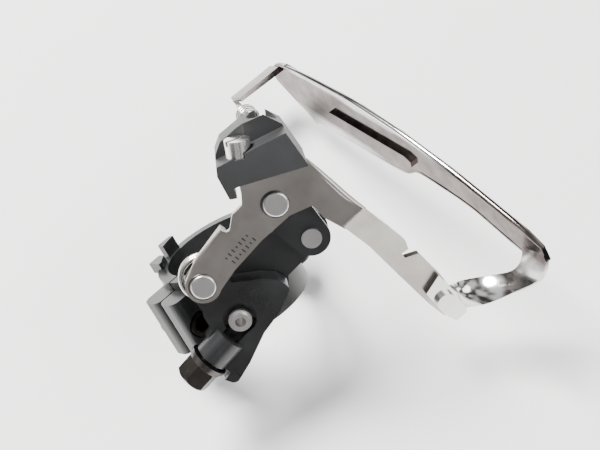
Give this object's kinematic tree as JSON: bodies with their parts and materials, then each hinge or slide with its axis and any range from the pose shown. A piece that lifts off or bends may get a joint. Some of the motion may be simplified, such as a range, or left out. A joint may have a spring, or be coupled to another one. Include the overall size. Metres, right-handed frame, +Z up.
{
  "type": "front derailleur",
  "caption": "Clamp-on front derailleur with a parallelogram linkage behind the seat tube, a plated steel plate and a curved polished chain cage.",
  "frame": {"origin": "centre of the clamp bore, on the seat tube's axis at the middle of the clamp", "axes": "+X to the drive side, +Y forward, +Z up along the seat tube"},
  "size_m": [0.0848, 0.0957, 0.0778],
  "materials": {
    "bracket_black": "satin black paint",
    "link_black": "matte black paint",
    "block_plastic": "moulded black",
    "plate_steel": "satin nickel plate",
    "cage_chrome": "polished",
    "pin_steel": "satin",
    "screw_silver": "bright zinc",
    "bolt_brown": "dark brown-black oxide",
    "washer_dark": "dark plated",
    "spring_wire": "drawn wire"
  },
  "bodies": {
    "bracket": {"clamp_bracket": "bracket_black", "hinge_pin": "pin_steel", "lower_pin_inner": "pin_steel", "lower_pin_outer": "pin_steel"},
    "band": {"clamp_band": "bracket_black", "clamp_nut": "bolt_brown"},
    "clamp_bolt": {"clamp_bolt": "bolt_brown"},
    "cable_link": {"cable_link": "link_black", "return_spring": "spring_wire"},
    "anchor": {"anchor_bolt": "bolt_brown", "anchor_washer_near": "washer_dark", "anchor_washer_far": "washer_dark"},
    "cage": {"cage_bracket": "plate_steel", "front_leg": "cage_chrome", "outer_cage_plate": "cage_chrome", "tail_rivet": "pin_steel", "lock_spring": "spring_wire", "limit_block": "block_plastic", "upper_pin_inner": "pin_steel", "upper_pin_outer": "pin_steel", "upper_washer_inner": "pin_steel", "upper_washer_outer": "pin_steel"},
    "outer_link": {"outer_link": "link_black"},
    "screw_low": {"limit_screw_low": "screw_silver"},
    "screw_high": {"limit_screw_high": "screw_silver"}
  },
  "joints": [
    {"name": "cable_link_swing", "type": "hinge", "parent": "bracket", "child": "cable_link", "pos_m": [-0.01073, -0.02309, -0.0008], "axis": [0.4226, 0.9063, 0], "range_deg": [0, 50], "stiffness_Nm_per_rad": 0.5, "springref_deg": -28.65},
    {"name": "cage_level", "type": "hinge", "parent": "cable_link", "child": "cage", "pos_m": [-0.01372, -0.0217, 0.0119], "axis": [0.4226, 0.9063, 0], "range_deg": [-50, 0]},
    {"name": "outer_link_swing", "type": "hinge", "parent": "bracket", "child": "outer_link", "pos_m": [0.01193, -0.03366, 0.0093], "axis": [0.4226, 0.9063, 0], "range_deg": [0, 50]},
    {"name": "anchor_bolt_back_off", "type": "slide", "parent": "cable_link", "child": "anchor", "axis": [-0.8403, 0.3918, -0.3746], "range_m": [0, 0.0015]},
    {"name": "low_screw_back_off", "type": "slide", "parent": "cage", "child": "screw_low", "axis": [0.31, -0.1445, 0.9397], "range_m": [0, 0.002]},
    {"name": "high_screw_back_off", "type": "slide", "parent": "cage", "child": "screw_high", "axis": [0.31, -0.1445, 0.9397], "range_m": [0, 0.002]},
    {"name": "clamp_bolt_back_off", "type": "slide", "parent": "bracket", "child": "clamp_bolt", "axis": [0.2079, -0.9781, 0], "range_m": [0, 0.0012]},
    {"name": "band_open", "type": "hinge", "parent": "bracket", "child": "band", "pos_m": [0.01907, 0.00405, 0], "axis": [0, 0, -1], "range_deg": [0, 1.5]}
  ],
  "couplings": [
    {"joint": "cage_level", "follows": "cable_link_swing", "ratio": -1},
    {"joint": "outer_link_swing", "follows": "cable_link_swing", "ratio": 1},
    {"joint": "band_open", "follows": "clamp_bolt_back_off", "rad_per_m": 21.8}
  ]
}
